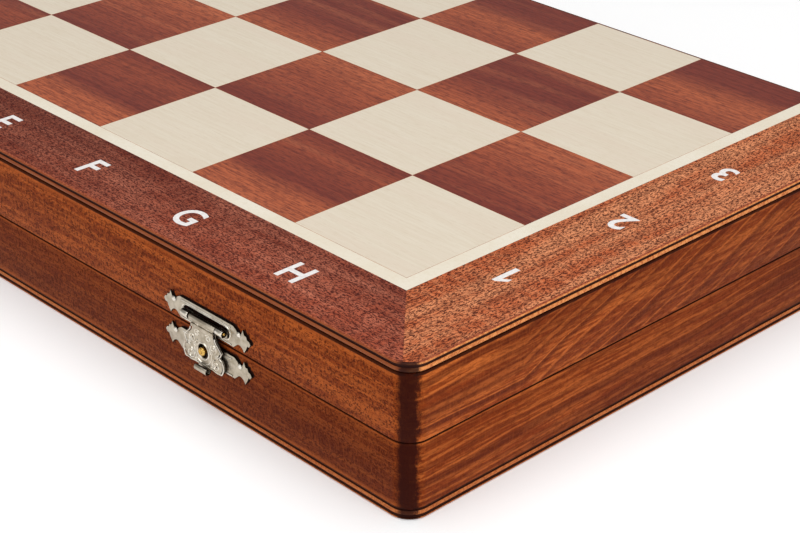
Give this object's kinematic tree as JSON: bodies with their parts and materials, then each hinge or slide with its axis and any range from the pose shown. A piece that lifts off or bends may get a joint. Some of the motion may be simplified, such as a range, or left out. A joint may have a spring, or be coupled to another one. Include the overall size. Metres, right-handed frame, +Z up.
{
  "type": "folding chess set",
  "caption": "Shallow folding wooden chess case, closed: board veneer outside, hinged lid, front latches, lined trays with lying chessmen.",
  "frame": {"origin": "centre of the flat underside of the closed case", "axes": "+X along the playing files from A to H, +Y from the latches to the hinges, +Z up"},
  "size_m": [0.4746, 0.2377, 0.05],
  "materials": {
    "playing_veneer": "semi-gloss lacquered mahogany and maple veneer",
    "stained_wood": "semi-gloss stained and lacquered solid wood",
    "tray_flock": "matt green flock",
    "hinge_brass": "polished brass plate",
    "latch_nickel": "stamped, plated pale nickel",
    "boxwood": "polished pale hardwood",
    "rosewood": "polished dark hardwood"
  },
  "bodies": {
    "lower_half": {"lower_panel": "playing_veneer", "lower_front_wall": "stained_wood", "lower_back_wall": "stained_wood", "lower_left_wall": "stained_wood", "lower_right_wall": "stained_wood", "lower_tray_floor": "tray_flock", "lower_tray_dividers": "tray_flock", "hinge_left_lower_leaf": "hinge_brass", "hinge_left_pin": "hinge_brass", "hinge_right_lower_leaf": "hinge_brass", "hinge_right_pin": "hinge_brass", "latch_left_catch": "latch_nickel", "latch_right_catch": "latch_nickel", "white_king": "boxwood", "white_queen": "boxwood", "white_bishop_c": "boxwood", "white_bishop_f": "boxwood", "white_knight_b": "boxwood", "white_knight_g": "boxwood", "white_rook_a": "boxwood", "white_rook_h": "boxwood", "white_pawn_a": "boxwood", "white_pawn_b": "boxwood", "white_pawn_c": "boxwood", "white_pawn_d": "boxwood", "white_pawn_e": "boxwood", "white_pawn_f": "boxwood", "white_pawn_g": "boxwood", "white_pawn_h": "boxwood", "black_king": "rosewood", "black_queen": "rosewood", "black_bishop_c": "rosewood", "black_bishop_f": "rosewood", "black_knight_b": "rosewood", "black_knight_g": "rosewood", "black_rook_a": "rosewood", "black_rook_h": "rosewood", "black_pawn_a": "rosewood", "black_pawn_b": "rosewood", "black_pawn_c": "rosewood", "black_pawn_d": "rosewood", "black_pawn_e": "rosewood", "black_pawn_f": "rosewood", "black_pawn_g": "rosewood", "black_pawn_h": "rosewood"},
    "upper_half": {"upper_panel": "playing_veneer", "upper_front_wall": "stained_wood", "upper_back_wall": "stained_wood", "upper_left_wall": "stained_wood", "upper_right_wall": "stained_wood", "upper_tray_floor": "tray_flock", "upper_tray_dividers": "tray_flock", "hinge_left_upper_leaf": "hinge_brass", "hinge_right_upper_leaf": "hinge_brass", "latch_left_plate": "latch_nickel", "latch_left_pin": "latch_nickel", "latch_right_plate": "latch_nickel", "latch_right_pin": "latch_nickel"},
    "left_hasp": {"latch_left_hasp": "latch_nickel"},
    "right_hasp": {"latch_right_hasp": "latch_nickel"}
  },
  "joints": [
    {"name": "lid_fold", "type": "hinge", "parent": "lower_half", "child": "upper_half", "pos_m": [0, 0.11532, 0.025], "axis": [-1, 0, 0], "range_deg": [0, 180]},
    {"name": "left_hasp_swing", "type": "hinge", "parent": "upper_half", "child": "left_hasp", "pos_m": [-0.151, -0.11707, 0.0299], "axis": [-1, 0, 0], "range_deg": [0, 120]},
    {"name": "right_hasp_swing", "type": "hinge", "parent": "upper_half", "child": "right_hasp", "pos_m": [0.151, -0.11707, 0.0299], "axis": [-1, 0, 0], "range_deg": [0, 120]}
  ]
}
